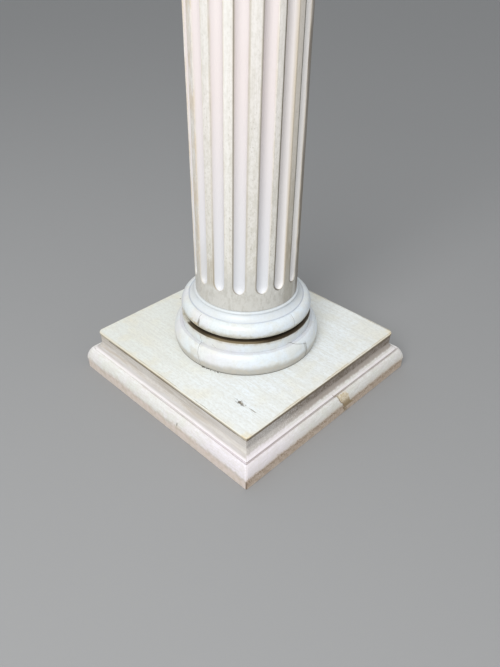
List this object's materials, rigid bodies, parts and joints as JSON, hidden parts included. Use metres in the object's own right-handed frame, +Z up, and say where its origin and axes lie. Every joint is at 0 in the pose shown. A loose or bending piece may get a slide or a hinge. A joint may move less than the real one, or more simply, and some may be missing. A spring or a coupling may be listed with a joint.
{
  "type": "doric column",
  "caption": "Free-standing painted wooden column: moulded square plinth, turned base, fluted shaft and plain square-topped capital.",
  "frame": {"origin": "middle of the plinth's underside, on the floor", "axes": "+Z up along the shaft, -Y out of the plinth's front face, +X out of its right face"},
  "size_m": [0.49, 0.49, 1.6937],
  "materials": {
    "plinth_paint": "old white paint, brushed, worn on the edges",
    "turning_paint": "cool white paint, satin, stained in the recesses",
    "shaft_paint": "warm white paint, rubbed back on the flats between the flutes"
  },
  "bodies": {
    "root": {"plinth_top_board": "plinth_paint", "plinth_moulding_front": "plinth_paint", "plinth_moulding_right": "plinth_paint", "plinth_moulding_back": "plinth_paint", "plinth_moulding_left": "plinth_paint", "turned_base": "turning_paint", "fluted_shaft": "shaft_paint", "turned_capital": "turning_paint", "abacus": "plinth_paint"}
  },
  "joints": []
}
